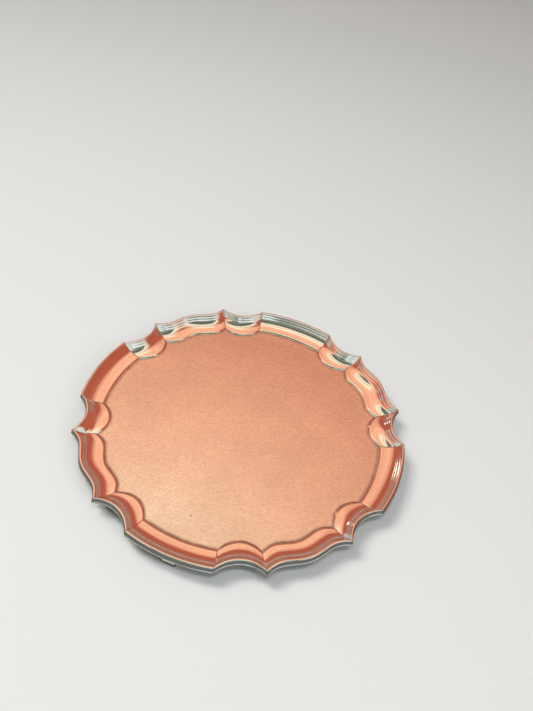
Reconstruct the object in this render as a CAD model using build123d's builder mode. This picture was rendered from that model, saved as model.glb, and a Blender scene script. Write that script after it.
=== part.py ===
from build123d import *
import math
import os

# A round pie-crust salver in silver: a flat plate, a mitred border of moulded sections, four scroll feet.
# The frame is in millimetres, +Z up, with the origin on the table under the middle of the salver. The salver
# repeats every quarter turn. Each quarter has one convex arc, a scallop on each side of it, and one bracket
# curve on the diagonal. The feet stand under the middles of the four convex arcs.

# ---- overall size ----
OVERALL_RADIUS = 127.0  # outside of the lower bead on the four convex arcs: a 10 inch salver
LIP_HEIGHT = 19.0  # table to the top of the lip
SIDES = ["right", "back", "left", "front"]  # the convex arcs, counter-clockwise from +X

# ---- outline of the lip's outer edge, by angle in degrees ----
FLARE = 1.1  # the wall under the lip leans out by this much
ARC_RADIUS = OVERALL_RADIUS - FLARE
ARC_HALF_ANGLE = 14.78  # middle of a convex arc to its cusp
BRACKET_HALF_ANGLE = 14.42  # middle of a bracket curve to its cusp
SCALLOP_DIP = 7.8  # how far a scallop's bottom lies inside the convex arcs
SCALLOP_RADIUS = 26.0  # radius of a scallop's own curve
BRACKET_CUSP = 126.8  # distance of a bracket's two cusps from the middle of the salver
BRACKET_CROWN = 123.8  # distance of a bracket's own middle
BRACKET_HOLLOW = 121.7  # distance of the two hollows beside that middle
BRACKET_HOLLOW_ANGLE = 8.7  # middle of the bracket to each hollow
SCALLOP_CENTRE_ANGLE = (ARC_HALF_ANGLE + 45 - BRACKET_HALF_ANGLE) / 2
SCALLOP_HALF_ANGLE = (45 - BRACKET_HALF_ANGLE - ARC_HALF_ANGLE) / 2
SCALLOP_STATIONS = 7  # moulding sections that a scallop is lofted through
BRACKET_STATIONS = 11

# ---- section of the border moulding: distance in from the outline, drop below the top of the lip ----
WALL_DROP = 4.8  # bottom edge of the outer wall
WALL_INNER = 0.8  # back of the outer wall at its bottom
BEAD_TOP = 3.7  # top of the bead along the wall's bottom edge
BEAD_EDGE = -0.7  # the bead's own edges, outside the outline but short of the full flare
GROOVE_TOP = 3.1  # groove above the bead
GROOVE_DEPTH_IN = -0.1
BAND_EDGE = -0.6  # lower edge of the plain, slightly rounded band between groove and lip
BAND_MIDDLE = -0.4
LIP_WIDTH = 1.7  # round bead along the top
REED_STARTS = [2.1, 3.7]  # two fine reeds inside the lip, each with a groove before it
REED_WIDTH = 1.3
REED_RISE = 0.3
FIRST_REED_DROP = 0.95
REED_STEP = 0.4  # the second reed lies this much lower
COVE_START_DROP = 1.9
COVE_END = 12.7  # where the cove becomes level
COVE_DROP = 6.0
RIDGE_START = 15.1  # raised line around the cove's inner edge
RIDGE_TOP = 16.0
RIDGE_END = 16.8
RIDGE_RISE = 0.3
BORDER_INNER = 18.4  # inner edge of the border, where it meets the plate
FIELD_DROP = 7.75  # upper face of the plate
SHELL = 1.0  # thickness of the moulding under the cove
SHOULDER_START = 4.6  # underside of the reeds, between the wall's back and the cove's back
SHOULDER_DROP = 2.0
SHOULDER_INNER = 1.5
LAP_OUTER = 13.2  # outer edge of the flat that is soldered to the plate

# ---- plate ----
PLATE_THICKNESS = 1.0
SEAT_DEPTH = 0.3  # the sheet is thinner where the border is soldered on
SEAT_INNER = 18.5  # inner edge of that seat
PLATE_EDGE = 13.4  # the sheet stops this far in from the outline
FIELD_TOP = LIP_HEIGHT - FIELD_DROP
PLATE_BOTTOM = FIELD_TOP - PLATE_THICKNESS

# ---- feet, in the radial plane through the middle of a convex arc ----
TOE_RADIUS = 3.0  # rolled toe
TOE_CENTRE = 120.4  # distance of the roll's axis from the middle of the salver
TOE_AXIS_HEIGHT = 2.7  # less than the radius, so that the toe stands on a narrow flat
TOE_WIDTH = 10.2
EYE_RADIUS = 1.5  # boss on each end of the roll
EYE_PROUD = 0.4
PAD_CENTRE = 102.0  # flange soldered under the plate
PAD_LENGTH = 19.0
PAD_WIDTH = 24.0
PAD_THICKNESS = 1.1
LEG_WIDTH = 7.4
LEG_ROUNDING = 0.7
LEG_TOP_FRONT = 109.5  # the leg's two faces at the flange, as distances from the middle
LEG_TOP_BACK = 97.0
LEG_HOLLOW = (113.2, 6.3)  # deepest point of the leg's front
LEG_BELLY = (107.0, 3.0)  # middle of the leg's back
LEG_TOE_TOP = (119.4, 5.1)  # inside the roll, where the two faces run into it
LEG_TOE_UNDER = (118.4, 0.7)


def polar(radius, angle):
    """The point at this distance from the middle and at this angle in degrees."""
    turn = math.radians(angle)
    return Vector(radius * math.cos(turn), radius * math.sin(turn))


def scallop_distance(offset):
    """Outline of a scallop, offset in degrees from its middle, positive towards the bracket."""
    curve_centre = ARC_RADIUS - SCALLOP_DIP + SCALLOP_RADIUS
    turn = math.radians(offset)
    across = curve_centre * math.sin(turn)
    bottom = curve_centre * math.cos(turn) - math.sqrt(SCALLOP_RADIUS**2 - across**2)
    end_across = curve_centre * math.sin(math.radians(SCALLOP_HALF_ANGLE))
    end = curve_centre * math.cos(math.radians(SCALLOP_HALF_ANGLE))
    end -= math.sqrt(SCALLOP_RADIUS**2 - end_across**2)
    # the two ends are eased to the exact distances of their cusps
    share = offset / SCALLOP_HALF_ANGLE
    to_bracket = (BRACKET_CUSP - end) * (1 + share) / 2
    to_arc = (ARC_RADIUS - end) * (1 - share) / 2
    return bottom + (to_bracket + to_arc) * share**2


def bracket_distance(offset):
    """Outline of a bracket, offset in degrees from its middle: a low crown between two hollows."""
    offset = abs(offset)
    if offset < BRACKET_HOLLOW_ANGLE:
        crown = (BRACKET_CROWN - BRACKET_HOLLOW) / 2
        return BRACKET_HOLLOW + crown * (1 + math.cos(math.pi * offset / BRACKET_HOLLOW_ANGLE))
    share = (offset - BRACKET_HOLLOW_ANGLE) / (BRACKET_HALF_ANGLE - BRACKET_HOLLOW_ANGLE)
    return BRACKET_HOLLOW + (BRACKET_CUSP - BRACKET_HOLLOW) * share**2


def outline_distance(angle):
    """Distance of the lip's outer edge from the middle, at any angle in degrees."""
    from_arc = abs((angle + 45) % 90 - 45)
    if from_arc <= ARC_HALF_ANGLE:
        return ARC_RADIUS
    if from_arc < 45 - BRACKET_HALF_ANGLE:
        return scallop_distance(from_arc - SCALLOP_CENTRE_ANGLE)
    return bracket_distance(45 - from_arc)


def radial_plane(angle):
    """The upright plane through the middle at this angle: its x runs outwards and its y upwards."""
    turn = math.radians(angle)
    outward = (math.cos(turn), math.sin(turn), 0)
    return Plane(origin=(0, 0, 0), x_dir=outward, z_dir=(math.sin(turn), -math.cos(turn), 0))


def moulding_section(angle, outline):
    """The border's section at this angle, with the lip's outer edge at this distance from the middle."""

    def at(distance_in, drop):
        return (outline - distance_in, LIP_HEIGHT - drop)

    lip_radius = LIP_WIDTH / 2
    cove_start = REED_STARTS[-1] + REED_WIDTH
    cove_run = COVE_END - cove_start
    cove_fall = COVE_DROP - COVE_START_DROP
    cove_radius = (cove_run**2 + cove_fall**2) / (2 * cove_fall)
    back_radius = cove_radius + SHELL
    middle = (cove_start + COVE_END) / 2
    seat_drop = FIELD_DROP + SEAT_DEPTH

    def cove_point(distance_in, radius):
        """A point on the cove's curve, or on its back's, which share one centre above the level flat."""
        depth = math.sqrt(radius**2 - (COVE_END - distance_in) ** 2)
        return at(distance_in, COVE_DROP - cove_radius + depth)

    with BuildSketch(radial_plane(angle)) as section:
        with BuildLine():
            # outer wall: lower bead, groove, plain band
            Line(at(WALL_INNER, WALL_DROP), at(BEAD_EDGE, WALL_DROP))
            bead_middle = at(-FLARE, (WALL_DROP + BEAD_TOP) / 2)
            ThreePointArc(at(BEAD_EDGE, WALL_DROP), bead_middle, at(BEAD_EDGE, BEAD_TOP))
            groove_middle = at(GROOVE_DEPTH_IN, (BEAD_TOP + GROOVE_TOP) / 2)
            ThreePointArc(at(BEAD_EDGE, BEAD_TOP), groove_middle, at(BAND_EDGE, GROOVE_TOP))
            band_middle = at(BAND_MIDDLE, (GROOVE_TOP + lip_radius) / 2)
            ThreePointArc(at(BAND_EDGE, GROOVE_TOP), band_middle, at(0, lip_radius))
            # lip
            ThreePointArc(at(0, lip_radius), at(lip_radius, 0), at(LIP_WIDTH, lip_radius))
            # fine reeds, each after a shallow groove
            last = at(LIP_WIDTH, lip_radius)
            for index, start in enumerate(REED_STARTS):
                drop = FIRST_REED_DROP + index * REED_STEP
                Line(last, at(start, drop))
                end_drop = drop + REED_STEP
                if start == REED_STARTS[-1]:
                    end_drop = COVE_START_DROP
                last = at(start + REED_WIDTH, end_drop)
                ThreePointArc(at(start, drop), at(start + REED_WIDTH / 2, drop - REED_RISE / 2), last)
            # cove, level flat and raised line
            ThreePointArc(last, cove_point(middle, cove_radius), at(COVE_END, COVE_DROP))
            Line(at(COVE_END, COVE_DROP), at(RIDGE_START, COVE_DROP))
            ridge_end = at(RIDGE_END, COVE_DROP + RIDGE_RISE)
            ThreePointArc(at(RIDGE_START, COVE_DROP), at(RIDGE_TOP, COVE_DROP - RIDGE_RISE), ridge_end)
            # step down to the plate, and the flat that is soldered into its seat
            Line(ridge_end, at(BORDER_INNER, FIELD_DROP))
            Line(at(BORDER_INNER, FIELD_DROP), at(BORDER_INNER, seat_drop))
            Line(at(BORDER_INNER, seat_drop), at(LAP_OUTER, seat_drop))
            # hollow underside of the cove, and the back of the wall
            Line(at(LAP_OUTER, seat_drop), at(LAP_OUTER, COVE_DROP + SHELL))
            Line(at(LAP_OUTER, COVE_DROP + SHELL), at(COVE_END, COVE_DROP + SHELL))
            ThreePointArc(
                at(COVE_END, COVE_DROP + SHELL),
                cove_point(middle, back_radius),
                cove_point(SHOULDER_START, back_radius),
            )
            Line(cove_point(SHOULDER_START, back_radius), at(SHOULDER_INNER, SHOULDER_DROP))
            Line(at(SHOULDER_INNER, SHOULDER_DROP), at(WALL_INNER, WALL_DROP))
        make_face()
    return section.sketch


def save(part, name):
    """Labels a finished piece and writes it to its own file."""
    part.label = name
    export_step(part, f"parts/{name}.step")


def border_arc(centre_angle):
    """A convex length of border, turned about the salver's own axis."""
    start = moulding_section(centre_angle - ARC_HALF_ANGLE, ARC_RADIUS)
    with BuildPart() as border:
        revolve(start, axis=Axis.Z, revolution_arc=2 * ARC_HALF_ANGLE)
    return border.part


def border_curve(start_angle, end_angle, stations):
    """A length of border whose moulding follows the outline, from one mitre to the next."""
    sections = []
    for station in range(stations):
        angle = start_angle + (end_angle - start_angle) * station / (stations - 1)
        sections.append(moulding_section(angle, outline_distance(angle)))
    with BuildPart() as border:
        loft(sections)
    return border.part


def sheet(bottom, thickness, distance_in):
    """A flat sheet cut parallel to the outline, this far in from it."""

    def edge(angle):
        return polar(outline_distance(angle) - distance_in, angle)

    with BuildPart() as flat:
        with BuildSketch(Plane.XY.offset(bottom)):
            with BuildLine():
                for quarter in range(len(SIDES)):
                    arc = 90 * quarter
                    diagonal = arc + 45
                    arc_end = arc + ARC_HALF_ANGLE
                    next_arc_start = arc + 90 - ARC_HALF_ANGLE
                    bracket_start = diagonal - BRACKET_HALF_ANGLE
                    bracket_end = diagonal + BRACKET_HALF_ANGLE
                    hollows = [diagonal - BRACKET_HOLLOW_ANGLE, diagonal + BRACKET_HOLLOW_ANGLE]
                    bracket = [bracket_start, hollows[0], diagonal, hollows[1], bracket_end]
                    ThreePointArc(edge(arc - ARC_HALF_ANGLE), edge(arc), edge(arc_end))
                    ThreePointArc(edge(arc_end), edge(arc + SCALLOP_CENTRE_ANGLE), edge(bracket_start))
                    Spline(*[edge(angle) for angle in bracket])
                    far_scallop = arc + 90 - SCALLOP_CENTRE_ANGLE
                    ThreePointArc(edge(bracket_end), edge(far_scallop), edge(next_arc_start))
            make_face()
        extrude(amount=thickness)
    return flat.part


def field_plate():
    """The plate: the flat field, and around it a thinner seat on which the border is soldered."""
    with BuildPart() as plate:
        add(sheet(PLATE_BOTTOM, PLATE_THICKNESS - SEAT_DEPTH, PLATE_EDGE))
        add(sheet(PLATE_BOTTOM, PLATE_THICKNESS, SEAT_INNER))
    return plate.part


def scroll_foot(angle):
    """A cast scroll foot: flange under the plate, curved leg, rolled toe with a boss on each end."""
    pad_bottom = PLATE_BOTTOM - PAD_THICKNESS
    leg_top_front = (LEG_TOP_FRONT, pad_bottom)
    leg_top_back = (LEG_TOP_BACK, pad_bottom)
    side_view = radial_plane(angle)
    pad_plane = Plane(origin=(0, 0, pad_bottom), x_dir=side_view.x_dir, z_dir=(0, 0, 1))
    with BuildPart() as foot:
        with BuildSketch(side_view):
            with BuildLine():
                ThreePointArc(leg_top_front, LEG_HOLLOW, LEG_TOE_TOP)
                Line(LEG_TOE_TOP, LEG_TOE_UNDER)
                ThreePointArc(LEG_TOE_UNDER, LEG_BELLY, leg_top_back)
                Line(leg_top_back, leg_top_front)
            make_face()
        extrude(amount=LEG_WIDTH / 2, both=True)
        fillet(foot.edges().filter_by(GeomType.CIRCLE), radius=LEG_ROUNDING)
        # the roll, with a boss like the eye of a volute on each end
        for width, radius in ((TOE_WIDTH, TOE_RADIUS), (TOE_WIDTH + 2 * EYE_PROUD, EYE_RADIUS)):
            with BuildSketch(side_view):
                with Locations((TOE_CENTRE, TOE_AXIS_HEIGHT)):
                    Circle(radius)
            extrude(amount=width / 2, both=True)
        with BuildSketch(pad_plane):
            with Locations((PAD_CENTRE, 0)):
                Ellipse(PAD_LENGTH / 2, PAD_WIDTH / 2)
        extrude(amount=PAD_THICKNESS)
        # the toe is flat where it stands on the table
        split(bisect_by=Plane.XY, keep=Keep.TOP)
    return foot.part


def main():
    os.makedirs("parts", exist_ok=True)
    save(field_plate(), "field_plate")
    for quarter, side in enumerate(SIDES):
        arc = 90 * quarter
        next_side = SIDES[(quarter + 1) % len(SIDES)]
        previous_side = SIDES[quarter - 1]
        # angles of the three cusps after the middle of this arc, and of the two before it
        arc_cusp = arc + ARC_HALF_ANGLE
        bracket_cusp = arc + 45 - BRACKET_HALF_ANGLE
        far_bracket_cusp = arc + 45 + BRACKET_HALF_ANGLE
        arc_cusp_before = arc - ARC_HALF_ANGLE
        bracket_cusp_before = arc - 45 + BRACKET_HALF_ANGLE
        save(border_arc(arc), f"border_arc_{side}")
        scallop = border_curve(arc_cusp, bracket_cusp, SCALLOP_STATIONS)
        save(scallop, f"border_scallop_{side}_{next_side}")
        bracket = border_curve(bracket_cusp, far_bracket_cusp, BRACKET_STATIONS)
        save(bracket, f"border_bracket_{side}_{next_side}")
        scallop = border_curve(bracket_cusp_before, arc_cusp_before, SCALLOP_STATIONS)
        save(scallop, f"border_scallop_{side}_{previous_side}")
        save(scroll_foot(arc), f"foot_{side}")


main()
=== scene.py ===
import math

import bpy
from mathutils import Matrix, Vector


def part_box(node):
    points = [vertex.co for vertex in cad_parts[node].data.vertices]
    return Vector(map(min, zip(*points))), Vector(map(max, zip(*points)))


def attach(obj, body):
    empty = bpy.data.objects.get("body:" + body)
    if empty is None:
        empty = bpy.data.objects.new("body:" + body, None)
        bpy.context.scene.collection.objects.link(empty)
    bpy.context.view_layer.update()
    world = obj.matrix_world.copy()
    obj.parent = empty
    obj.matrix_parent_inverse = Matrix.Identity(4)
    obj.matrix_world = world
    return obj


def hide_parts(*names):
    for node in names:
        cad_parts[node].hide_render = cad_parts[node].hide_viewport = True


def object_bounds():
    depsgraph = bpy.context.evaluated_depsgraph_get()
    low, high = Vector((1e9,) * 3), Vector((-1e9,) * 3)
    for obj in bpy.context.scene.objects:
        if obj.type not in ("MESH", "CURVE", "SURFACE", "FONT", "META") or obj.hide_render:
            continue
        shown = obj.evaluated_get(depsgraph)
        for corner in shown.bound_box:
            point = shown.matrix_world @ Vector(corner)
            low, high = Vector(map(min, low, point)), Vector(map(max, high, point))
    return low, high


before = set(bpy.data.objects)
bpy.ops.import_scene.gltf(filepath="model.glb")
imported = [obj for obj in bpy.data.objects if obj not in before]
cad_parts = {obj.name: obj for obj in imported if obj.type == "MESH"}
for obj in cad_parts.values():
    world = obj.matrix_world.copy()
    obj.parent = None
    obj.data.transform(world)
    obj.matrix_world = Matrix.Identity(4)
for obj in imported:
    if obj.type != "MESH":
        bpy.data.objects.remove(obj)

# Looks of the silver salver. Lengths are in metres unless a comment says otherwise;
# MM turns millimetres into metres.
MM = 0.001
CAD_LOW, CAD_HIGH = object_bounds()
LIP_TOP = CAD_HIGH[2]
FIELD_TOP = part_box("field_plate")[1].z
PLATE_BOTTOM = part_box("field_plate")[0].z
TABLE = CAD_LOW[2]
SIDES = ["right", "back", "left", "front"]  # the convex arcs, counter-clockwise from +X

# ---- outline of the lip's outer edge, by angle in degrees ----
INSIDE_CAD = 0.06 * MM  # the visible wall stays this far inside the CAD wall
FLARE = 1.1 * MM  # the wall under the lip leans out by this much
ARC_RADIUS = CAD_HIGH[0] - FLARE - INSIDE_CAD
ARC_HALF_ANGLE = 14.78
BRACKET_HALF_ANGLE = 14.42
SCALLOP_DIP = 7.8 * MM
SCALLOP_RADIUS = 26.0 * MM
BRACKET_CUSP = 126.75 * MM
BRACKET_CROWN = 123.75 * MM
BRACKET_HOLLOW = 121.65 * MM
BRACKET_HOLLOW_ANGLE = 8.7
SCALLOP_CENTRE_ANGLE = (ARC_HALF_ANGLE + 45 - BRACKET_HALF_ANGLE) / 2
SCALLOP_HALF_ANGLE = (45 - BRACKET_HALF_ANGLE - ARC_HALF_ANGLE) / 2
CUSP_ROUNDING = 0.12 * MM  # a worn cusp is this much shorter than a sharp one
CUSP_ROUNDING_ANGLE = 0.3

# ---- section of the border, in millimetres: distance in from the outline, drop below the lip ----
WALL_DROP = 4.8
BEAD_TOP = 3.7
GROOVE_TOP = 3.1
LIP_WIDTH = 1.7
LIP_SQUARENESS = 0.72  # 1 would be a round lip; less is flatter on top
REEDS = ((0.10, 0.50), (0.60, 1.00))  # each reed's start and end, as shares of the slope from lip to cove
REED_RISE = 0.045
REED_GROOVE = 0.02
COVE_START = (5.0, 3.6)
COVE_END = (13.0, 6.55)
COVE_SAG = 0.57
LEDGE_END = (15.3, 6.75)
LEDGE_BEND = (16.2, 6.83)
STEP_TOP = (16.9, 7.05)
STEP_FOOT = (17.9, 7.68)
BORDER_INNER = 18.4
SHELL = 1.0
LAP_OUTER = 13.2
SEAT_DEPTH = 0.3
SEAT_INNER = 18.5
PLATE_EDGE = 13.4
FIELD_DROP = (LIP_TOP - FIELD_TOP) / MM
MITRE_DEPTH = 0.12  # the soldered line between two lengths of border
MITRE_ANGLE = 0.17
LEDGE_HOLLOW = ((13.8, 6.62), (14.6, 6.69))  # points of the ledge between the cove and its end
STEP_SAG = 0.02
UNDER_COVE_START = (4.42, COVE_START[1] + SHELL * 0.81)
UNDER_COVE_END = (12.91, COVE_END[1] + SHELL)
UNDER_COVE_SAG = COVE_SAG * 1.06
WALL_BACK = ((1.95, 2.3), (1.45, 2.3), (1.2, 2.7), (1.0, 3.6))
UNDER_REEDS_SLOPE = 0.833  # of a line that runs just under the reeds, in the section
UNDER_REEDS_DROP = 0.1

# ---- tarnish and painted shade on the border: how much is 0 to 1, places are in millimetres ----
TARNISH_LINES = ((1.85, 0.2, 0.4), (3.5, 0.2, 0.25), (18.0, 0.55, 0.75))  # (distance in, width, how much)
WALL_GROOVE_DROP = 3.4
WALL_GROOVE_WIDTH = 0.25
# painted shade with some tarnish: the border's hidden undersides are darker by this much
UNDERSIDE_TARNISH_AND_SHADE = 0.45
MITRE_TARNISH = 0.6
MITRE_TARNISH_ANGLE = 0.12

# ---- feet, in millimetres: distance from the middle, height over the table ----
TOE_CENTRE = 120.2
TOE_AXIS = 2.62
TOE_RADIUS = 3.15
TOE_HALF_WIDTH = 5.0
FLANGE_CENTRE = 102.0
FLANGE_LENGTH = 19.0
FLANGE_WIDTH = 24.0
FLANGE_THICKNESS = 1.1
FOOT_VOXEL = 0.24

# ---- cards around the salver, in metres; the upright ones change colour with height ----
CARD_RADIUS = 1.4
CARD_TOP = 4.2
CARD_STEPS = 24
LEAN_START = 1.0
LEAN_SHIFT = 0.2
LEAN = 1.08
LAMP_CARD_RADIUS = 1.35
LAMP_GLOW = (3.0, 2.8, 2.2)
CEILING = 2.2
DARK_CARD_REACH = 0.9
FLOOR_REACH = 3.0


def smooth(low, high, value):
    """0 below low, 1 above high, and an even curve between them."""
    share = min(1.0, max(0.0, (value - low) / (high - low)))
    return share * share * (3 - 2 * share)


# ---------------------------------------------------------------- outline

def scallop_distance(offset):
    """Outline of a scallop, offset in degrees from its middle, positive towards the bracket."""
    curve_centre = ARC_RADIUS - SCALLOP_DIP + SCALLOP_RADIUS

    def on_circle(angle):
        turn = math.radians(angle)
        across = curve_centre * math.sin(turn)
        return curve_centre * math.cos(turn) - math.sqrt(SCALLOP_RADIUS**2 - across**2)

    end = on_circle(SCALLOP_HALF_ANGLE)
    share = offset / SCALLOP_HALF_ANGLE
    to_bracket = (BRACKET_CUSP - end) * (1 + share) / 2
    to_arc = (ARC_RADIUS - end) * (1 - share) / 2
    return on_circle(offset) + (to_bracket + to_arc) * share**2


def bracket_distance(offset):
    """Outline of a bracket, offset in degrees from its middle: a low crown between two hollows."""
    offset = abs(offset)
    if offset < BRACKET_HOLLOW_ANGLE:
        crown = (BRACKET_CROWN - BRACKET_HOLLOW) / 2
        return BRACKET_HOLLOW + crown * (1 + math.cos(math.pi * offset / BRACKET_HOLLOW_ANGLE))
    share = (offset - BRACKET_HOLLOW_ANGLE) / (BRACKET_HALF_ANGLE - BRACKET_HOLLOW_ANGLE)
    return BRACKET_HOLLOW + (BRACKET_CUSP - BRACKET_HOLLOW) * share**2


def to_nearest_cusp(angle):
    """Degrees from this angle to the nearest cusp of the outline."""
    from_arc = abs((angle + 45) % 90 - 45)
    return min(abs(from_arc - ARC_HALF_ANGLE), abs(from_arc - 45 + BRACKET_HALF_ANGLE))


def outline_distance(angle):
    """Distance of the lip's outer edge from the middle at an angle in degrees, with the cusps worn round."""
    from_arc = abs((angle + 45) % 90 - 45)
    if from_arc <= ARC_HALF_ANGLE:
        distance = ARC_RADIUS
    elif from_arc < 45 - BRACKET_HALF_ANGLE:
        distance = scallop_distance(from_arc - SCALLOP_CENTRE_ANGLE)
    else:
        distance = bracket_distance(45 - from_arc)
    nearness = max(0.0, 1 - to_nearest_cusp(angle) / CUSP_ROUNDING_ANGLE)
    return distance - CUSP_ROUNDING * nearness**2


# ---------------------------------------------------------------- meshes

def arc_points(start, middle, end, count):
    """Points along the circle through three points of a section, without the first."""
    (ax, ay), (bx, by), (cx, cy) = start, middle, end
    d = 2 * (ax * (by - cy) + bx * (cy - ay) + cx * (ay - by))
    ux = ((ax**2 + ay**2) * (by - cy) + (bx**2 + by**2) * (cy - ay) + (cx**2 + cy**2) * (ay - by)) / d
    uy = ((ax**2 + ay**2) * (cx - bx) + (bx**2 + by**2) * (ax - cx) + (cx**2 + cy**2) * (bx - ax)) / d
    radius = math.hypot(ax - ux, ay - uy)
    first = math.atan2(ay - uy, ax - ux)
    via = (math.atan2(by - uy, bx - ux) - first) % math.tau
    sweep = (math.atan2(cy - uy, cx - ux) - first) % math.tau
    if via > sweep:
        sweep -= math.tau
    points = []
    for step in range(1, count + 1):
        turn = first + sweep * step / count
        points.append((ux + radius * math.cos(turn), uy + radius * math.sin(turn)))
    return points


def bulged(start, end, rise):
    """The middle of an arc between two points of a section that stands this far proud of its chord."""
    run, fall = end[0] - start[0], end[1] - start[1]
    length = math.hypot(run, fall)
    return ((start[0] + end[0]) / 2 + rise * fall / length, (start[1] + end[1]) / 2 - rise * run / length)


def section_points():
    """The border's section as one closed loop of (distance in, drop), starting at the wall's lower edge."""
    lip = LIP_WIDTH / 2
    # lower bead, groove, plain band
    points = [(0.8, 4.65), (0.65, WALL_DROP), (-0.7, WALL_DROP)]
    points += arc_points(points[-1], (-1.1, (WALL_DROP + BEAD_TOP) / 2), (-0.7, BEAD_TOP), 12)
    points += arc_points(points[-1], (-0.1, (BEAD_TOP + GROOVE_TOP) / 2), (-0.6, GROOVE_TOP), 8)
    points += arc_points(points[-1], (-0.42, 2.0), (0.0, lip), 9)
    # lip, then two fine reeds on the slope down to the cove, each after a shallow groove
    for step in range(1, 19):
        turn = math.pi * step / 18
        across = math.copysign(abs(math.cos(turn)) ** LIP_SQUARENESS, math.cos(turn))
        points.append((lip * (1 - across), lip * (1 - math.sin(turn) ** LIP_SQUARENESS)))
    top = points[-1]
    for first, last in REEDS:
        start, end = (
            (top[0] + share * (COVE_START[0] - top[0]), top[1] + share * (COVE_START[1] - top[1]))
            for share in (first, last)
        )
        points += arc_points(points[-1], bulged(points[-1], start, -REED_GROOVE), start, 5)
        points += arc_points(start, bulged(start, end, REED_RISE), end, 8)
    # cove, ledge, and the step down to the plate with the flat that is soldered into its seat
    points += arc_points(COVE_START, bulged(COVE_START, COVE_END, -COVE_SAG), COVE_END, 22)
    points += [*LEDGE_HOLLOW, LEDGE_END]
    points += arc_points(LEDGE_END, LEDGE_BEND, STEP_TOP, 8)
    points += arc_points(STEP_TOP, bulged(STEP_TOP, STEP_FOOT, -STEP_SAG), STEP_FOOT, 6)
    points += [(BORDER_INNER, FIELD_DROP), (BORDER_INNER, FIELD_DROP + SEAT_DEPTH)]
    points += [(LAP_OUTER, FIELD_DROP + SEAT_DEPTH), (LAP_OUTER, COVE_END[1] + SHELL + 0.03)]
    # underside of the cove and the back of the wall
    points.append(UNDER_COVE_END)
    middle = bulged(UNDER_COVE_START, UNDER_COVE_END, -UNDER_COVE_SAG)
    points += arc_points(UNDER_COVE_END, middle, UNDER_COVE_START, 12)
    points += WALL_BACK
    return points


def below_reeds(distance_in, drop):
    """Whether a point of the section is under the slope between lip and cove, so out of sight from above."""
    return distance_in < COVE_START[0] and drop > UNDER_REEDS_SLOPE * distance_in + UNDER_REEDS_DROP


def grime_and_shade(distance_in, drop, angle):
    """How much tarnish and painted shade is here, 0 to 1: tarnish in grooves, along the border's foot and in
    the mitres, and painted shade with some tarnish on the hidden undersides.
    """
    outer = drop > COVE_END[1] + 0.8 or distance_in < 0
    amount = 0.0
    for place, width, most in TARNISH_LINES:
        if not outer or place > COVE_END[0]:
            amount = max(amount, most * math.exp(-(((distance_in - place) / width) ** 2)))
    if distance_in < 0.2:
        amount = max(amount, math.exp(-(((drop - WALL_GROOVE_DROP) / WALL_GROOVE_WIDTH) ** 2)))
    # painted shade with some tarnish on the underside of the cove and on the back of the wall
    under = drop > COVE_END[1] + SHELL * 0.9 and distance_in < STEP_TOP[0]
    if under or (distance_in > 0.7 and below_reeds(distance_in, drop)):
        amount = max(amount, UNDERSIDE_TARNISH_AND_SHADE)
    return max(amount, MITRE_TARNISH * math.exp(-((to_nearest_cusp(angle) / MITRE_TARNISH_ANGLE) ** 2)))


def new_mesh(name, vertices, faces, sharp_angle=40, tarnish_and_shade=None):
    """A smooth-shaded mesh object with creases where its faces turn by more than this angle in degrees."""
    mesh = bpy.data.meshes.new(name)
    mesh.from_pydata(vertices, [], faces)
    mesh.update()
    if tarnish_and_shade:
        mesh.attributes.new("tarnish_and_shade", "FLOAT", "POINT").data.foreach_set("value", tarnish_and_shade)
    mesh.shade_smooth()
    mesh.set_sharp_from_angle(angle=math.radians(sharp_angle))
    piece = bpy.data.objects.new(name, mesh)
    bpy.context.scene.collection.objects.link(piece)
    return piece


def finish_piece(piece, material, slot, *nodes):
    """Gives a piece its material and body, and hides the CAD nodes that it stands for; the slot is not used.
    """
    piece.data.materials.append(material)
    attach(piece, "root")
    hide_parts(*nodes)


# ---------------------------------------------------------------- border

def hand_work(distance_in, angle):
    """Slight unevenness of the hand-finished moulding, in millimetres of extra drop, never negative."""
    turn = math.radians(angle)
    slow = math.sin(7 * turn + 0.9) + 0.7 * math.sin(17 * turn - 1.7 + 0.2 * distance_in)
    quick = math.sin(61 * turn + 0.9 * distance_in) * math.sin(37 * turn - 0.5 * distance_in)
    return 0.016 * (1.7 + slow) + 0.007 * (1 + quick)


def border_piece(node, start_angle, end_angle, stations, material):
    """One length of border between two mitres, closed at both ends."""
    section = section_points()
    ends = [0.0, 0.04, 0.09, MITRE_ANGLE, 0.3]
    span = end_angle - start_angle
    angles = [start_angle + offset for offset in ends]
    inner_span = span - 2 * ends[-1]
    angles += [start_angle + ends[-1] + inner_span * step / stations for step in range(1, stations)]
    angles += [end_angle - offset for offset in reversed(ends)]
    vertices, tarnish_and_shade = [], []
    for angle in angles:
        outline = outline_distance(angle)
        turn = math.radians(angle)
        mitre = max(0.0, 1 - min(angle - start_angle, end_angle - angle) / MITRE_ANGLE)
        for distance_in, drop in section:
            upper = distance_in > 0.2 and drop < COVE_END[1] + 0.5 and not below_reeds(distance_in, drop)
            sink = MITRE_DEPTH * mitre if upper else 0.0
            if upper:
                sink += hand_work(distance_in, angle)
            radius = outline - distance_in * MM
            height = LIP_TOP - (drop + sink) * MM
            vertices.append((radius * math.cos(turn), radius * math.sin(turn), height))
            tarnish_and_shade.append(grime_and_shade(distance_in, drop, angle))
    count = len(section)
    faces = []
    for station in range(len(angles) - 1):
        for step in range(count):
            after = (step + 1) % count
            low, high = station * count, (station + 1) * count
            faces.append((low + step, high + step, high + after, low + after))
    last = (len(angles) - 1) * count
    faces.append(tuple(range(count)))
    faces.append(tuple(last + step for step in reversed(range(count))))
    piece = new_mesh(f"{node}_silver", vertices, faces, tarnish_and_shade=tarnish_and_shade)
    finish_piece(piece, material, "polished_silver", node)


# ---------------------------------------------------------------- field plate

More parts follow.
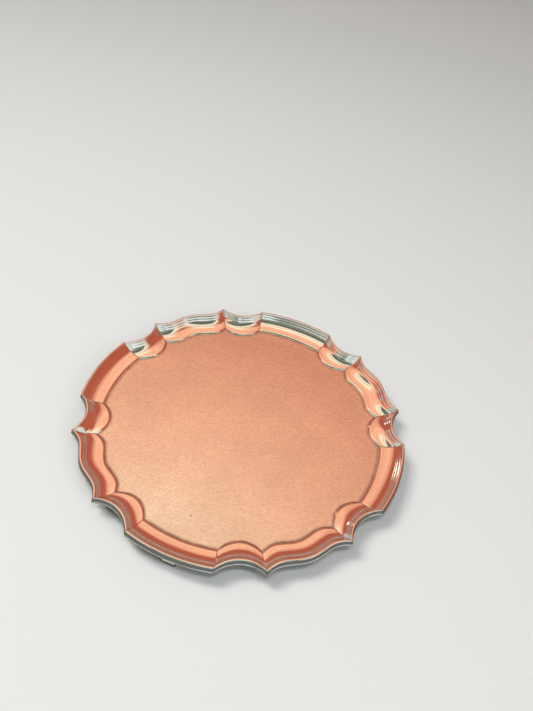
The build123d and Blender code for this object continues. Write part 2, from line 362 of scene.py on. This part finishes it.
def field_waviness(x, y):
    """Slight unevenness of the beaten sheet, in metres below its highest level."""
    slow = math.sin(41 * x + 1.3) * math.cos(37 * y - 0.4) + 0.6 * math.sin(63 * x - 29 * y + 2.1)
    quick = math.sin(173 * x + 91 * y) * math.cos(141 * y - 67 * x + 0.8)
    ripple = math.sin(520 * x + 160 * y + 2 * math.sin(90 * y)) * math.sin(430 * y - 120 * x)
    return 0.020 * MM * (slow - 1.6) + 0.006 * MM * (quick - 1) + 0.0016 * MM * (ripple - 1)


def field_piece(material):
    """The flat plate: an uneven upper face, the seat of the border around it, an edge and an underside."""
    around, rings = 960, 110
    field_edge = [outline_distance(360 * step / around) - SEAT_INNER * MM for step in range(around)]
    sheet_edge = [outline_distance(360 * step / around) - PLATE_EDGE * MM for step in range(around)]
    mean = sum(field_edge) / around
    seat = FIELD_TOP - SEAT_DEPTH * MM
    loops = []  # each is (distances all round, height, whether it belongs to the uneven face, tarnish and painted shade)
    for ring in range(1, rings + 1):
        share = ring / rings
        inner = [share * (mean + (edge - mean) * share**5) for edge in field_edge]
        loops.append((inner, FIELD_TOP, True, 0.9 * smooth(0.985, 1.0, share)))
    loops.append((field_edge, seat, False, 1.0))
    # painted shade with some tarnish: the sheet's edge and the plate's underside, with its middle point below,
    # are darker
    loops.append((sheet_edge, seat, False, 0.6))
    loops.append((sheet_edge, PLATE_BOTTOM, False, 0.5))
    for ring in reversed(range(1, 41)):
        share = ring / 41
        loops.append(([edge * share for edge in sheet_edge], PLATE_BOTTOM, False, 0.35))
    top_middle = FIELD_TOP + field_waviness(0, 0)
    vertices, tarnish_and_shade, faces = [(0, 0, top_middle), (0, 0, PLATE_BOTTOM)], [0, 0.35], []
    for distances, height, uneven, amount in loops:
        for step, distance in enumerate(distances):
            turn = math.tau * step / around
            x, y = distance * math.cos(turn), distance * math.sin(turn)
            # the sheet is true where the border is soldered to it
            freedom = 1 - smooth(0.93, 0.995, distance / field_edge[step]) if uneven else 0.0
            vertices.append((x, y, height + field_waviness(x, y) * freedom))
            tarnish_and_shade.append(amount)
    for step in range(around):
        after = (step + 1) % around
        faces.append((0, 2 + step, 2 + after))
        last = 2 + (len(loops) - 1) * around
        faces.append((1, last + after, last + step))
        for ring in range(len(loops) - 1):
            near, far = 2 + ring * around, 2 + (ring + 1) * around
            faces.append((near + step, far + step, far + after, near + after))
    piece = new_mesh("field_plate_silver", vertices, faces, tarnish_and_shade=tarnish_and_shade)
    finish_piece(piece, material, "worn_silver", "field_plate")


# ---------------------------------------------------------------- feet

def tube(rings, faces, vertices):
    """Adds a closed tube through these rings of points, which all have the same count."""
    first = len(vertices)
    count = len(rings[0])
    for ring in rings:
        vertices.extend(ring)
    for number in range(len(rings) - 1):
        for step in range(count):
            after = (step + 1) % count
            low, high = first + number * count, first + (number + 1) * count
            faces.append((low + step, low + after, high + after, high + step))
    faces.append(tuple(first + step for step in reversed(range(count))))
    last = first + (len(rings) - 1) * count
    faces.append(tuple(last + step for step in range(count)))


def bezier(start, pull, end, share):
    """A point on the quadratic curve from start to end."""
    keep = 1 - share
    return tuple(keep**2 * a + 2 * keep * share * b + share**2 * c for a, b, c in zip(start, pull, end))


def foot_flange(vertices, faces):
    """The cast flange under the plate: an oval with a lobed edge and a raised inner step."""
    top = PLATE_BOTTOM / MM
    levels = (  # (depth, share of the full size)
        (0.0, 1.0), (0.45, 1.0), (0.75, 0.97), (0.95, 0.9),
        (1.1, 0.8), (1.15, 0.66), (1.75, 0.6), (1.9, 0.5),
    )
    rings = []
    for depth, scale in levels:
        ring = []
        for step in range(72):
            turn = math.tau * step / 72
            lobe = 1 - 0.035 * (1 - math.cos(6 * turn))
            ring.append(
                (
                    FLANGE_CENTRE + FLANGE_LENGTH / 2 * scale * lobe * math.cos(turn),
                    FLANGE_WIDTH / 2 * scale * lobe * math.sin(turn),
                    top - depth * FLANGE_THICKNESS / 1.1,
                )
            )
        rings.append(ring)
    tube(rings, faces, vertices)


def foot_leg(vertices, faces):
    """The leg: broad at the flange, waisted, with a spine and two flutes on its outer face."""
    top = PLATE_BOTTOM / MM - 0.6
    rings = []
    for station in range(49):
        share = station / 48
        upper = bezier((109.5, top), (111.3, 4.6), (120.4, TOE_AXIS + TOE_RADIUS - 0.45), share)
        lower = bezier((97.0, top), (105.0, 0.1), (119.0, 0.5), share)
        half = 5.9 - 2.9 * smooth(0.0, 0.5, share) + 1.7 * smooth(0.55, 1.0, share)
        ring = []
        for step in range(40):
            turn = math.tau * step / 40
            side = math.copysign(abs(math.cos(turn)) ** 0.75, math.cos(turn))
            rise = math.copysign(abs(math.sin(turn)) ** 0.75, math.sin(turn))
            spine = 0.32 * math.exp(-((side / 0.22) ** 2))
            spine -= 0.22 * math.exp(-(((abs(side) - 0.5) / 0.18) ** 2))
            lift = spine * max(0.0, rise) * (0.4 + 0.6 * math.sin(math.pi * share))
            mix = (rise + 1) / 2
            across = (upper[0] - lower[0], upper[1] - lower[1])
            length = math.hypot(*across)
            ring.append(
                (
                    lower[0] + across[0] * (mix + lift / length),
                    half * side,
                    lower[1] + across[1] * (mix + lift / length),
                )
            )
        rings.append(ring)
    tube(rings, faces, vertices)


def foot_toe(vertices, faces):
    """The rolled toe: a strip curled into a scroll, a core, and a domed eye at each end."""
    turns, steps = 1.35, 90
    rings = []
    for step in range(steps + 1):
        share = step / steps
        # from the top of the roll outwards, down, under and back up into the scroll
        turn = math.radians(100) - math.tau * turns * share
        outer = TOE_RADIUS - 1.25 * share
        inner = outer - 0.62
        half = TOE_HALF_WIDTH - 0.25 * share
        strip = (
            (inner, -half), (outer - 0.12, -half), (outer, -half + 0.3),
            (outer, half - 0.3), (outer - 0.12, half), (inner, half),
        )
        ring = []
        for radius, y in strip:
            ring.append((TOE_CENTRE + radius * math.cos(turn), y, TOE_AXIS + radius * math.sin(turn)))
        rings.append(ring)
    tube(rings, faces, vertices)
    core = ((-4.55, 2.35), (4.55, 2.35))
    eyes = (
        (-5.25, 0.25), (-5.2, 0.7), (-5.0, 1.05), (-4.6, 1.25),
        (4.6, 1.25), (5.0, 1.05), (5.2, 0.7), (5.25, 0.25),
    )
    for shape in (core, eyes):
        rings = []
        for y, radius in shape:
            ring = []
            for step in range(40):
                turn = math.tau * step / 40
                ring.append((TOE_CENTRE + radius * math.cos(turn), y, TOE_AXIS + radius * math.sin(turn)))
            rings.append(ring)
        tube(rings, faces, vertices)


def foot_mesh():
    """Points and faces of one foot on +X, cast into one skin, softened, and flat where it stands."""
    vertices, faces = [], []
    foot_flange(vertices, faces)
    foot_leg(vertices, faces)
    foot_toe(vertices, faces)
    mesh = bpy.data.meshes.new("foot_pattern")
    mesh.from_pydata([(x * MM, y * MM, z * MM) for x, y, z in vertices], [], faces)
    pattern = bpy.data.objects.new("foot_pattern", mesh)
    bpy.context.scene.collection.objects.link(pattern)
    remesh = pattern.modifiers.new("skin", "REMESH")
    remesh.mode = "VOXEL"
    remesh.voxel_size = FOOT_VOXEL * MM
    soften = pattern.modifiers.new("soften", "SMOOTH")
    soften.factor = 0.5
    soften.iterations = 4
    cast = bpy.data.meshes.new_from_object(pattern.evaluated_get(bpy.context.evaluated_depsgraph_get()))
    bpy.data.objects.remove(pattern)
    points = []
    for vertex in cast.vertices:
        x, y, z = vertex.co
        points.append((x, y, min(max(z, TABLE), PLATE_BOTTOM)))
    return points, [tuple(face.vertices) for face in cast.polygons]


def foot_piece(side, angle, points, faces, material):
    """A copy of the foot, turned to its place."""
    turn = math.radians(angle)
    placed = []
    tarnish_and_shade = []
    for x, y, z in points:
        placed.append((x * math.cos(turn) - y * math.sin(turn), x * math.sin(turn) + y * math.cos(turn), z))
        # painted shade under the plate: the foot is darker towards its top, over an even light tarnish
        tarnish_and_shade.append(0.25 + 0.6 * smooth(7.0 * MM, 9.6 * MM, z))
    piece = new_mesh(f"foot_{side}_silver", placed, faces, sharp_angle=70, tarnish_and_shade=tarnish_and_shade)
    finish_piece(piece, material, "cast_silver", f"foot_{side}")


# ---------------------------------------------------------------- materials

def material(name):
    """A new node material, its tree and its Principled shader."""
    new = bpy.data.materials.new(name)
    new.use_nodes = True
    shader = new.node_tree.nodes["Principled BSDF"]
    return new, new.node_tree, shader


def add(tree, kind, **inputs):
    """A node with its sockets set by name."""
    node = tree.nodes.new(kind)
    for key, value in inputs.items():
        node.inputs[key.replace("_", " ")].default_value = value
    return node


def noise(tree, place, scale, detail, stretch=(1, 1, 1), turn=0.0):
    """Noise over the object, with its pattern stretched and turned about the upright axis."""
    mapping = add(tree, "ShaderNodeMapping", Scale=stretch, Rotation=(0, 0, turn))
    tree.links.new(place.outputs["Object"], mapping.inputs["Vector"])
    node = add(tree, "ShaderNodeTexNoise", Scale=scale, Detail=detail, Roughness=0.55)
    tree.links.new(mapping.outputs["Vector"], node.inputs["Vector"])
    return node.outputs["Fac"]


def ranged(tree, value, low, high, to_low, to_high):
    """Maps a value's range to another, clamped."""
    node = tree.nodes.new("ShaderNodeMapRange")
    for key, number in (("From Min", low), ("From Max", high), ("To Min", to_low), ("To Max", to_high)):
        node.inputs[key].default_value = number
    tree.links.new(value, node.inputs["Value"])
    return node.outputs["Result"]


def arithmetic(tree, operation, first, second):
    node = tree.nodes.new("ShaderNodeMath")
    node.operation = operation
    for socket, value in zip(node.inputs, (first, second)):
        if isinstance(value, (int, float)):
            socket.default_value = value
        else:
            tree.links.new(value, socket)
    return node.outputs["Value"]


def mixed(tree, share, first, second):
    """A colour mix; each colour is a socket or a tuple."""
    node = tree.nodes.new("ShaderNodeMix")
    node.data_type = "RGBA"
    tree.links.new(share, node.inputs["Factor"])
    for socket, colour in ((node.inputs[6], first), (node.inputs[7], second)):
        if isinstance(colour, tuple):
            socket.default_value = colour
        else:
            tree.links.new(colour, socket)
    return node.outputs[2]


def hairlines(tree, place, scale, stretch, turn):
    """Thin long scratches: the narrow contour of a stretched noise, broken up by a second one."""
    contour = noise(tree, place, scale, 2.0, (stretch, 1, 1), turn)
    away = arithmetic(tree, "ABSOLUTE", arithmetic(tree, "SUBTRACT", contour, 0.5), 0)
    line = ranged(tree, away, 0.0, 0.0022, 1.0, 0.0)
    broken = ranged(tree, noise(tree, place, 60.0, 2.0, turn=turn + 1), 0.56, 0.66, 0.0, 1.0)
    return arithmetic(tree, "MULTIPLY", line, broken)


def silver(name, roughness, spread, grain_height, grain_scale, grain_shade, scratch_height, pits):
    """Silver: neutral metal with uneven polish, grain, scratches and pits, tarnish in its recesses, and
    painted shade on its undersides and in the grain's low points.
    """
    new, tree, shader = material(name)
    link = tree.links.new
    shader.inputs["Metallic"].default_value = 1.0
    place = tree.nodes.new("ShaderNodeTexCoord")
    tarnish_and_shade_node = tree.nodes.new("ShaderNodeAttribute")
    tarnish_and_shade_node.attribute_name = "tarnish_and_shade"
    cloud = noise(tree, place, 30.0, 5.0)
    blotch = noise(tree, place, 150.0, 3.0)
    # colour: clean silver, a slightly yellowed bloom, and brown-grey tarnish, mixed with painted shade on the
    # undersides and up the feet
    bloom = ranged(tree, cloud, 0.36, 0.66, 0.0, 0.5)
    clean = mixed(tree, bloom, (0.93, 0.92, 0.90, 1), (0.84, 0.80, 0.74, 1))
    uneven = ranged(tree, blotch, 0.3, 0.7, 0.35, 0.95)
    tarnish_and_shade_share = arithmetic(tree, "MULTIPLY", tarnish_and_shade_node.outputs["Fac"], uneven)
    coloured = mixed(tree, tarnish_and_shade_share, clean, (0.17, 0.135, 0.11, 1))
    # pits: small round holes in a few of the cells
    cells = add(tree, "ShaderNodeTexVoronoi", Scale=95.0)
    link(place.outputs["Object"], cells.inputs["Vector"])
    apart = tree.nodes.new("ShaderNodeSeparateColor")
    link(cells.outputs["Color"], apart.inputs["Color"])
    chosen = arithmetic(tree, "GREATER_THAN", apart.outputs["Red"], 1 - pits)
    hole = arithmetic(tree, "MULTIPLY", ranged(tree, cells.outputs["Distance"], 0.03, 0.07, 1.0, 0.0), chosen)
    strokes = noise(tree, place, grain_scale, 2.0, (0.7, 1.15, 1), 0.25)
    fleck = noise(tree, place, grain_scale * 2.1, 1.0, (0.85, 1.1, 1), -0.5)
    grain = arithmetic(
        tree, "ADD", arithmetic(tree, "MULTIPLY", strokes, 0.65), arithmetic(tree, "MULTIPLY", fleck, 0.35)
    )
    # painted shade: the grain's low points are darker, on top of the bump
    shade = ranged(tree, grain, 0.38, 0.62, grain_shade, 0.0)
    shaded = mixed(tree, shade, coloured, (0.42, 0.38, 0.34, 1))
    link(mixed(tree, hole, shaded, (0.12, 0.1, 0.09, 1)), shader.inputs["Base Color"])
    # roughness: uneven polish, duller where tarnished or scratched
    scratch = arithmetic(
        tree, "MAXIMUM", hairlines(tree, place, 90.0, 0.02, 0.5), hairlines(tree, place, 110.0, 0.018, 2.2)
    )
    polish = ranged(tree, cloud, 0.3, 0.7, roughness - spread, roughness + spread)
    dulled = arithmetic(tree, "ADD", polish, arithmetic(tree, "MULTIPLY", tarnish_and_shade_share, 0.3))
    rough = arithmetic(tree, "ADD", dulled, arithmetic(tree, "MULTIPLY", scratch, 0.08))
    link(rough, shader.inputs["Roughness"])
    # relief: grain, scratches and pits, as heights in metres
    relief = arithmetic(tree, "MULTIPLY", grain, grain_height)
    relief = arithmetic(tree, "SUBTRACT", relief, arithmetic(tree, "MULTIPLY", scratch, scratch_height))
    relief = arithmetic(tree, "SUBTRACT", relief, arithmetic(tree, "MULTIPLY", hole, 0.03 * MM))
    bump = add(tree, "ShaderNodeBump", Strength=1.0, Distance=1.0)
    link(relief, bump.inputs["Height"])
    link(bump.outputs["Normal"], shader.inputs["Normal"])
    return new


# ---------------------------------------------------------------- stage, light and camera

def flat(name, corners, paint):
    """A flat stage piece through four corners."""
    mesh = bpy.data.meshes.new(name)
    mesh.from_pydata(corners, [], [(0, 1, 2, 3)])
    mesh.materials.append(paint)
    piece = bpy.data.objects.new(name, mesh)
    bpy.context.scene.collection.objects.link(piece)
    return piece


def only_reflected(piece):
    """Leaves a stage piece showing in the silver's reflections alone."""
    piece.visible_camera = False
    piece.visible_diffuse = False
    piece.visible_transmission = False
    piece.visible_volume_scatter = False
    piece.visible_shadow = False


def level_square(half, height):
    """The corners of a level square about the middle."""
    return [(-half, -half, height), (half, -half, height), (half, half, height), (-half, half, height)]


def glow(name, axis, stops):
    """Light that changes colour along one axis of a card, through stops of (place, colour)."""
    low, high = stops[0][0], stops[-1][0]
    paint, tree, shader = material(name)
    tree.nodes.remove(shader)
    link = tree.links.new
    place = tree.nodes.new("ShaderNodeTexCoord")
    axes = tree.nodes.new("ShaderNodeSeparateXYZ")
    link(place.outputs["Object"], axes.inputs["Vector"])
    along = axes.outputs[axis]
    if axis == "Z":
        # above LEAN_START every upright card takes its colour from lower down towards +X, higher up towards -X
        height = arithmetic(tree, "MAXIMUM", arithmetic(tree, "SUBTRACT", along, LEAN_START), 0)
        beside = arithmetic(tree, "MULTIPLY", arithmetic(tree, "ADD", axes.outputs["X"], LEAN_SHIFT), LEAN)
        along = arithmetic(tree, "SUBTRACT", along, arithmetic(tree, "MULTIPLY", height, beside))
    ramp = tree.nodes.new("ShaderNodeValToRGB")
    elements = ramp.color_ramp.elements
    for element, stop in zip(elements, (stops[0], stops[-1])):
        element.position, element.color = (stop[0] - low) / (high - low), (*stop[1], 1)
    for position, colour in stops[1:-1]:
        elements.new((position - low) / (high - low)).color = (*colour, 1)
    link(ranged(tree, along, low, high, 0.0, 1.0), ramp.inputs["Fac"])
    light = tree.nodes.new("ShaderNodeEmission")
    link(ramp.outputs["Color"], light.inputs["Color"])
    link(light.outputs["Emission"], tree.nodes["Material Output"].inputs["Surface"])
    return paint


def round_card(name, first, last, paint):
    """A tall curved card around the salver, from one angle in degrees to another."""
    vertices, faces = [], []
    for step in range(CARD_STEPS + 1):
        turn = math.radians(first + (last - first) * step / CARD_STEPS)
        for height in (0.0, CARD_TOP):
            vertices.append((CARD_RADIUS * math.cos(turn), CARD_RADIUS * math.sin(turn), height))
    for step in range(CARD_STEPS):
        faces.append((2 * step, 2 * step + 2, 2 * step + 3, 2 * step + 1))
    mesh = bpy.data.meshes.new(name)
    mesh.from_pydata(vertices, [], faces)
    mesh.materials.append(paint)
    card = bpy.data.objects.new(name, mesh)
    bpy.context.scene.collection.objects.link(card)
    only_reflected(card)


def level_card(name, left, right, height, stops):
    """A level card from left to right, as deep as its stops, which run along Y."""
    near, far = stops[0][0], stops[-1][0]
    corners = [(left, near, height), (right, near, height), (right, far, height), (left, far, height)]
    only_reflected(flat(name, corners, glow(name, "Y", stops)))


def cards():
    """What the silver mirrors: coloured cards that imitate the room of the photo, which is not plain light.

    Each stop is (height, or Y on the level cards, in metres; colour).
    """
    warm = (
        (0.0, (0.46, 0.38, 0.34)),
        (0.12, (0.44, 0.28, 0.23)),
        (0.24, (0.43, 0.16, 0.11)),
        (0.8, (0.50, 0.10, 0.055)),
        (1.1, (0.56, 0.14, 0.075)),
        (1.3, (0.76, 0.31, 0.19)),
        (1.41, (0.87, 0.43, 0.275)),
        (1.54, (0.92, 0.36, 0.21)),
        (1.93, (1.12, 0.57, 0.36)),
        (2.3, (1.04, 0.47, 0.275)),
        (2.8, (1.12, 0.62, 0.39)),
        (3.7, (1.20, 1.0, 0.72)),
    )
    red = (
        (0.0, (0.52, 0.51, 0.49)),
        (0.72, (0.55, 0.53, 0.50)),
        (0.9, (0.50, 0.16, 0.10)),
        (1.0, (0.55, 0.095, 0.05)),
        (1.45, (0.62, 0.14, 0.07)),
        (1.8, (0.95, 0.42, 0.26)),
        (2.6, (1.0, 0.6, 0.4)),
    )
    olive = (
        (0.0, (0.40, 0.40, 0.37)),
        (0.1, (0.72, 0.70, 0.64)),
        (0.85, (0.86, 0.84, 0.76)),
        (1.02, (0.26, 0.27, 0.20)),
        (1.4, (0.20, 0.21, 0.15)),
        (1.7, (0.30, 0.32, 0.27)),
        (2.6, (0.9, 0.93, 0.9)),
    )
    window = (
        (0.0, (0.45, 0.46, 0.45)),
        (0.1, (0.80, 0.84, 0.82)),
        (0.9, (0.95, 1.0, 0.97)),
        (1.05, (0.40, 0.46, 0.44)),
        (1.25, (0.80, 0.92, 0.90)),
        (1.8, (0.85, 1.0, 0.98)),
        (2.6, (0.9, 0.95, 0.93)),
    )
    ceiling = (
        (-1.5, (0.40, 0.44, 0.40)),
        (-1.0, (0.16, 0.17, 0.12)),
        (-0.60, (0.13, 0.13, 0.09)),
        (-0.55, (0.55, 0.56, 0.46)),
        (-0.50, (0.55, 0.56, 0.46)),
        (-0.45, (0.12, 0.13, 0.09)),
        (0.12, (0.16, 0.18, 0.13)),
        (0.28, (1.05, 1.0, 0.82)),
        (0.38, (1.05, 1.0, 0.82)),
        (0.48, (0.95, 0.68, 0.46)),
        (0.7, (0.95, 0.62, 0.42)),
    )
    skylight = (
        (-1.45, (0.80, 0.94, 0.92)),
        (-0.95, (0.62, 0.74, 0.71)),
        (-0.8, (0.20, 0.23, 0.18)),
        (-0.62, (0.13, 0.13, 0.09)),
    )
    uprights = (  # (name, from and to this angle in degrees, stops)
        ("warm_card", 10, 165, warm),
        ("red_card", 165, 215, red),
        ("olive_card", 215, 268, olive),
        ("window_card", 268, 345, window),
        ("corner_card", 345, 370, olive),
    )
    for name, first, last, stops in uprights:
        round_card(name, first, last, glow(name, "Z", stops))
    left, right = math.radians(143), math.radians(137)
    low, high = 0.38, 0.52
    corners = [
        (LAMP_CARD_RADIUS * math.cos(turn), LAMP_CARD_RADIUS * math.sin(turn), height)
        for turn, height in ((left, low), (right, low), (right, high), (left, high))
    ]
    only_reflected(flat("lamp_card", corners, glow("lamp_card", "Y", ((0.0, LAMP_GLOW), (1.4, LAMP_GLOW)))))
    level_card("ceiling_card", -1.4, 1.4, CEILING, ceiling)
    level_card("skylight_card", 0.0, 1.2, CEILING - 0.01, skylight)


def dark_card():
    """A dark card on the floor, seen only in the outer wall's reflections."""
    paint, _, shader = material("dark_card")
    shader.inputs["Base Color"].default_value = (0.10, 0.115, 0.11, 1)
    shader.inputs["Roughness"].default_value = 0.8
    only_reflected(flat("dark_card", level_square(DARK_CARD_REACH, TABLE + 0.02 * MM), paint))


def stage_and_light():
    """A pale floor, the cards, a pale sky and three soft lamps, which reflections don't show."""
    paint, _, shader = material("floor_paint")
    shader.inputs["Base Color"].default_value = (0.70, 0.70, 0.69, 1)
    shader.inputs["Roughness"].default_value = 0.7
    flat("floor", level_square(FLOOR_REACH, TABLE - 0.05 * MM), paint)
    cards()
    dark_card()
    world = bpy.data.worlds.new("studio")
    world.use_nodes = True
    world.node_tree.nodes["Background"].inputs["Color"].default_value = (0.80, 0.81, 0.82, 1)
    world.node_tree.nodes["Background"].inputs["Strength"].default_value = 0.3
    bpy.context.scene.world = world
    bpy.context.scene.view_settings.view_transform = "Standard"
    for name, spot, size, power, colour in (
        ("key", (-0.75, -0.15, 1.5), (0.5, 0.7), 17, (1.0, 0.97, 0.93)),
        ("overhead", (0.25, -0.55, 1.6), (0.7, 0.16), 9, (0.95, 1.0, 1.0)),
        ("fill", (1.2, -0.7, 1.1), (0.5, 0.7), 6, (0.93, 0.97, 1.0)),
    ):
        data = bpy.data.lights.new(name, "AREA")
        data.shape = "RECTANGLE"
        data.size, data.size_y = size
        data.energy = power
        data.color = colour
        lamp = bpy.data.objects.new(name, data)
        lamp.visible_glossy = False
        lamp.location = spot
        lamp.rotation_euler = (Vector((0, 0, 0)) - Vector(spot)).to_track_quat("-Z", "Y").to_euler()
        bpy.context.scene.collection.objects.link(lamp)


def camera():
    """The photograph's view: 16 degrees round from the front, 45 degrees down, tilted by 8 degrees."""
    heading = math.radians(-16.18)
    down = math.radians(45.1)
    roll = math.radians(7.83)
    reach = ARC_RADIUS - LIP_WIDTH / 2 * MM
    level = math.cos(down)
    forward = Vector((math.sin(heading) * level, math.cos(heading) * level, -math.sin(down)))
    right = Vector((math.cos(heading), -math.sin(heading), 0))
    up = right.cross(forward)
    tilted_right = right * math.cos(roll) + up * math.sin(roll)
    tilted_up = up * math.cos(roll) - right * math.sin(roll)
    data = bpy.data.cameras.new("camera")
    data.sensor_width = 36
    data.lens = 35.09
    viewer = bpy.data.objects.new("camera", data)
    turn = Matrix((tilted_right, tilted_up, -forward)).transposed().to_4x4()
    spot = (0.849 * reach, -2.583 * reach, LIP_TOP + 3.303 * reach)
    viewer.matrix_world = Matrix.Translation(spot) @ turn
    bpy.context.scene.collection.objects.link(viewer)
    bpy.context.scene.camera = viewer


polished = silver(
    "polished_silver", roughness=0.09, spread=0.03, grain_height=0.003 * MM, grain_scale=420.0,
    grain_shade=0.05, scratch_height=0.0015 * MM, pits=0.03,
)
worn = silver(
    "worn_silver", roughness=0.24, spread=0.05, grain_height=0.11 * MM, grain_scale=660.0,
    grain_shade=0.28, scratch_height=0.006 * MM, pits=0.07,
)
cast = silver(
    "cast_silver", roughness=0.20, spread=0.05, grain_height=0.012 * MM, grain_scale=900.0,
    grain_shade=0.12, scratch_height=0.001 * MM, pits=0.10,
)
field_piece(worn)
for quarter, side in enumerate(SIDES):
    arc = 90 * quarter
    next_side = SIDES[(quarter + 1) % len(SIDES)]
    previous_side = SIDES[quarter - 1]
    bracket_start = arc + 45 - BRACKET_HALF_ANGLE
    border_piece(f"border_arc_{side}", arc - ARC_HALF_ANGLE, arc + ARC_HALF_ANGLE, 60, polished)
    border_piece(f"border_scallop_{side}_{next_side}", arc + ARC_HALF_ANGLE, bracket_start, 44, polished)
    bracket_end = arc + 45 + BRACKET_HALF_ANGLE
    border_piece(f"border_bracket_{side}_{next_side}", bracket_start, bracket_end, 72, polished)
    before = arc - 45 + BRACKET_HALF_ANGLE
    border_piece(f"border_scallop_{side}_{previous_side}", before, arc - ARC_HALF_ANGLE, 44, polished)
foot_points, foot_faces = foot_mesh()
for quarter, side in enumerate(SIDES):
    foot_piece(side, 90 * quarter, foot_points, foot_faces, cast)
stage_and_light()
camera()
